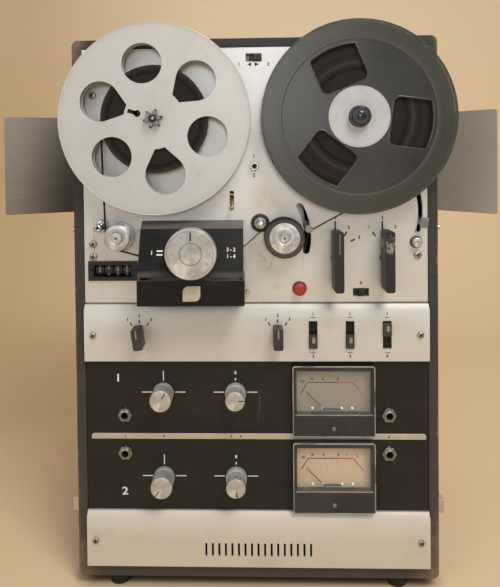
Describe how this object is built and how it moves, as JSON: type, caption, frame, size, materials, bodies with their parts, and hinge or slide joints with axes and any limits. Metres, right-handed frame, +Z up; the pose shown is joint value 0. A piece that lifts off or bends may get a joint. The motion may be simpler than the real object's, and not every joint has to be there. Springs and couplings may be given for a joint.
{
  "type": "reel-to-reel tape recorder",
  "caption": "Upright portable stereo reel-to-reel tape recorder with two reels threaded, head covers, levers, level meters, knobs, phone jacks and side reflector doors.",
  "frame": {"origin": "middle of the footprint of the whole object, on the plane the feet stand on", "axes": "+X to the viewer's right, +Y from the front panels to the back, +Z up"},
  "size_m": [0.5166, 0.291, 0.539],
  "materials": {
    "cabinet_covering": "grained, matte",
    "back_board": "painted fibreboard",
    "foot_rubber": "matte",
    "fitting_steel": "polished",
    "chassis_steel": "zinc plated",
    "deck_aluminium": "brushed",
    "panel_aluminium": "brushed",
    "amplifier_face": "satin black",
    "screw_steel": "nickel plated",
    "head_cover_plastic": "glossy",
    "head_metal": "ground",
    "post_steel": "polished",
    "counter_black": "satin",
    "figure_white": "matte",
    "meter_black": "satin",
    "meter_clear": "clear",
    "jack_chrome": "polished",
    "speaker_basket": "painted",
    "circuit_parts": "matte",
    "motor_grey": "painted",
    "belt_rubber": "matte",
    "tape_brown": "satin",
    "turntable_grey": "satin",
    "reel_metal": "brushed, worn",
    "reel_plastic": "smoky, part clear",
    "turntable_black": "matte",
    "flywheel_steel": "turned",
    "arm_steel": "plated",
    "roller_rubber": "matte",
    "roller_steel": "polished",
    "lever_grey": "satin",
    "knob_metal": "turned",
    "slide_black": "satin",
    "slide_grey": "satin",
    "bar_knob_grey": "satin",
    "ring_grey": "turned",
    "needle_black": "matte",
    "button_red": "glossy",
    "button_metal": "turned",
    "lever_brass": "polished",
    "reflector_metal": "satin, worn"
  },
  "bodies": {
    "cabinet": {"case_shell": "cabinet_covering", "back_cover": "back_board", "feet": "foot_rubber", "side_fittings": "fitting_steel", "chassis_frame": "chassis_steel", "deck_panel": "deck_aluminium", "control_panel": "panel_aluminium", "amplifier_panel": "amplifier_face", "lower_panel": "panel_aluminium", "panel_screws": "screw_steel", "head_cover": "head_cover_plastic", "cross_field_cover": "head_cover_plastic", "tape_heads": "head_metal", "guide_posts": "post_steel", "counter_housing": "counter_black", "meters": "meter_black", "meter_windows": "meter_clear", "phone_jacks": "jack_chrome", "speakers": "speaker_basket", "amplifier_chassis": "circuit_parts", "drive_motor": "motor_grey", "drive_belt": "belt_rubber", "tape_run": "tape_brown"},
    "supply": {"supply_turntable": "turntable_grey", "supply_reel": "reel_metal", "supply_tape_pack": "tape_brown"},
    "takeup": {"takeup_turntable": "turntable_black", "takeup_reel": "reel_plastic", "takeup_tape_pack": "tape_brown"},
    "counter_drums": {"counter_drums": "figure_white"},
    "capstan_flywheel": {"capstan_flywheel": "flywheel_steel"},
    "motor_pulley": {"motor_pulley": "flywheel_steel"},
    "pinch_arm": {"pinch_arm": "arm_steel"},
    "pinch_roller": {"pinch_roller": "roller_rubber"},
    "guide_roller": {"guide_roller": "roller_steel"},
    "tension_arm": {"tension_arm": "arm_steel"},
    "pause_lever": {"pause_lever": "arm_steel"},
    "function_lever": {"function_lever": "lever_grey"},
    "wind_lever": {"wind_lever": "lever_grey"},
    "track_knob": {"track_knob": "knob_metal"},
    "speed_slide": {"speed_slide": "slide_black"},
    "autostop_slide": {"autostop_slide": "slide_black"},
    "stereo_switch": {"stereo_switch": "slide_grey"},
    "monitor_switch": {"monitor_switch": "slide_grey"},
    "power_switch": {"power_switch": "slide_grey"},
    "source_knob": {"source_knob": "bar_knob_grey"},
    "mode_knob": {"mode_knob": "bar_knob_grey"},
    "mic_knob_left": {"mic_knob_left": "knob_metal"},
    "mic_knob_right": {"mic_knob_right": "knob_metal"},
    "line_knob_left": {"line_knob_left": "knob_metal"},
    "line_knob_right": {"line_knob_right": "knob_metal"},
    "line_ring_left": {"line_ring_left": "ring_grey"},
    "line_ring_right": {"line_ring_right": "ring_grey"},
    "needle_left": {"needle_left": "needle_black"},
    "needle_right": {"needle_right": "needle_black"},
    "record_button": {"record_button": "button_red"},
    "start_button": {"start_button": "button_metal"},
    "toggle_lever": {"toggle_lever": "lever_brass"},
    "reflector_left": {"reflector_left": "reflector_metal"},
    "reflector_right": {"reflector_right": "reflector_metal"}
  },
  "joints": [
    {"name": "supply_spin", "type": "hinge", "parent": "cabinet", "child": "supply", "pos_m": [-0.08092, -0.0985, 0.45], "axis": [0, -1, 0], "continuous": true},
    {"name": "takeup_spin", "type": "hinge", "parent": "cabinet", "child": "takeup", "pos_m": [0.10718, -0.0985, 0.45], "axis": [0, -1, 0], "continuous": true},
    {"name": "capstan_spin", "type": "hinge", "parent": "cabinet", "child": "capstan_flywheel", "pos_m": [0.01658, -0.0585, 0.3514], "axis": [0, -1, 0], "continuous": true},
    {"name": "motor_spin", "type": "hinge", "parent": "cabinet", "child": "motor_pulley", "pos_m": [-0.05902, -0.0485, 0.31], "axis": [0, -1, 0], "continuous": true},
    {"name": "counter_spin", "type": "hinge", "parent": "cabinet", "child": "counter_drums", "pos_m": [-0.12502, -0.0812, 0.3063], "axis": [1, 0, 0], "continuous": true},
    {"name": "guide_spin", "type": "hinge", "parent": "cabinet", "child": "guide_roller", "pos_m": [-0.11642, -0.0985, 0.3404], "axis": [0, -1, 0], "continuous": true},
    {"name": "pinch_swing", "type": "hinge", "parent": "cabinet", "child": "pinch_arm", "pos_m": [0.01875, -0.0795, 0.30402], "axis": [0, -1, 0], "range_deg": [0, 4.04], "stiffness_Nm_per_rad": 0.1, "springref_deg": -20.05, "deforming": ["tape_run"]},
    {"name": "pinch_spin", "type": "hinge", "parent": "pinch_arm", "child": "pinch_roller", "pos_m": [0.03868, -0.0985, 0.3387], "axis": [0, -1, 0], "continuous": true},
    {"name": "tension_swing", "type": "hinge", "parent": "cabinet", "child": "tension_arm", "pos_m": [0.00118, -0.0735, 0.338], "axis": [0, -1, 0], "range_deg": [-21.5, 19], "stiffness_Nm_per_rad": 0.1, "springref_deg": 2.86, "deforming": ["tape_run"]},
    {"name": "pause_swing", "type": "hinge", "parent": "cabinet", "child": "pause_lever", "pos_m": [0.09168, -0.0795, 0.361], "axis": [0, -1, 0], "range_deg": [-3.5, 22]},
    {"name": "function_turn", "type": "hinge", "parent": "cabinet", "child": "function_lever", "pos_m": [0.08748, -0.1085, 0.3175], "axis": [0, 1, 0], "range_deg": [0, 60]},
    {"name": "wind_turn", "type": "hinge", "parent": "cabinet", "child": "wind_lever", "pos_m": [0.13348, -0.1085, 0.3175], "axis": [0, 1, 0], "range_deg": [-30, 30]},
    {"name": "track_turn", "type": "hinge", "parent": "cabinet", "child": "track_knob", "pos_m": [-0.04472, -0.1385, 0.331], "axis": [0, 1, 0], "range_deg": [-40, 40]},
    {"name": "speed_select", "type": "slide", "parent": "cabinet", "child": "speed_slide", "axis": [1, 0, 0], "range_m": [-0.0068, 0]},
    {"name": "autostop_select", "type": "slide", "parent": "cabinet", "child": "autostop_slide", "axis": [1, 0, 0], "range_m": [-0.0042, 0.0042]},
    {"name": "stereo_select", "type": "slide", "parent": "cabinet", "child": "stereo_switch", "axis": [0, 0, 1], "range_m": [0, 0.011]},
    {"name": "monitor_select", "type": "slide", "parent": "cabinet", "child": "monitor_switch", "axis": [0, 0, 1], "range_m": [0, 0.011]},
    {"name": "power_select", "type": "slide", "parent": "cabinet", "child": "power_switch", "axis": [0, 0, 1], "range_m": [-0.011, 0]},
    {"name": "source_turn", "type": "hinge", "parent": "cabinet", "child": "source_knob", "pos_m": [-0.09922, -0.0985, 0.2457], "axis": [0, 1, 0], "range_deg": [-37.6, 22.4]},
    {"name": "mode_turn", "type": "hinge", "parent": "cabinet", "child": "mode_knob", "pos_m": [0.03198, -0.0985, 0.2457], "axis": [0, 1, 0], "range_deg": [-30, 30]},
    {"name": "mic_volume_left", "type": "hinge", "parent": "cabinet", "child": "mic_knob_left", "pos_m": [-0.07782, -0.0985, 0.189], "axis": [0, 1, 0], "range_deg": [-180, 120]},
    {"name": "mic_volume_right", "type": "hinge", "parent": "cabinet", "child": "mic_knob_right", "pos_m": [-0.07782, -0.0985, 0.1078], "axis": [0, 1, 0], "range_deg": [-8, 292]},
    {"name": "line_volume_left", "type": "hinge", "parent": "cabinet", "child": "line_knob_left", "pos_m": [-0.00862, -0.0985, 0.189], "axis": [0, 1, 0], "range_deg": [-235, 65]},
    {"name": "line_volume_right", "type": "hinge", "parent": "cabinet", "child": "line_knob_right", "pos_m": [-0.00862, -0.0985, 0.1078], "axis": [0, 1, 0], "range_deg": [-3, 297]},
    {"name": "line_ring_left_turn", "type": "hinge", "parent": "cabinet", "child": "line_ring_left", "pos_m": [-0.00862, -0.0925, 0.189], "axis": [0, 1, 0], "range_deg": [-150, 150]},
    {"name": "line_ring_right_turn", "type": "hinge", "parent": "cabinet", "child": "line_ring_right", "pos_m": [-0.00862, -0.0925, 0.1078], "axis": [0, 1, 0], "range_deg": [-150, 150]},
    {"name": "needle_left_swing", "type": "hinge", "parent": "cabinet", "child": "needle_left", "pos_m": [0.08398, -0.0925, 0.16535], "axis": [0, 1, 0], "range_deg": [0, 90], "stiffness_Nm_per_rad": 0.0002, "springref_deg": -17.19},
    {"name": "needle_right_swing", "type": "hinge", "parent": "cabinet", "child": "needle_right", "pos_m": [0.08398, -0.0925, 0.09245], "axis": [0, 1, 0], "range_deg": [0, 90], "stiffness_Nm_per_rad": 0.0002, "springref_deg": -17.19},
    {"name": "record_press", "type": "slide", "parent": "cabinet", "child": "record_button", "axis": [0, 1, 0], "range_m": [0, 0.003], "stiffness_N_per_m": 200, "springref_m": -0.002},
    {"name": "start_press", "type": "slide", "parent": "cabinet", "child": "start_button", "axis": [0, 1, 0], "range_m": [0, 0.003], "stiffness_N_per_m": 200, "springref_m": -0.002},
    {"name": "toggle_lift", "type": "hinge", "parent": "cabinet", "child": "toggle_lever", "pos_m": [-0.01022, -0.0805, 0.378], "axis": [-1, 0, 0], "range_deg": [0, 45]},
    {"name": "reflector_left_swing", "type": "hinge", "parent": "cabinet", "child": "reflector_left", "pos_m": [-0.16602, 0.0315, 0.407], "axis": [0, 0, -1], "range_deg": [-61, 28]},
    {"name": "reflector_right_swing", "type": "hinge", "parent": "cabinet", "child": "reflector_right", "pos_m": [0.18798, 0.0315, 0.407], "axis": [0, 0, 1], "range_deg": [-41, 48]}
  ],
  "couplings": [
    {"joint": "motor_spin", "follows": "capstan_spin", "ratio": 6.4286},
    {"joint": "counter_spin", "follows": "supply_spin", "ratio": 0.1}
  ]
}
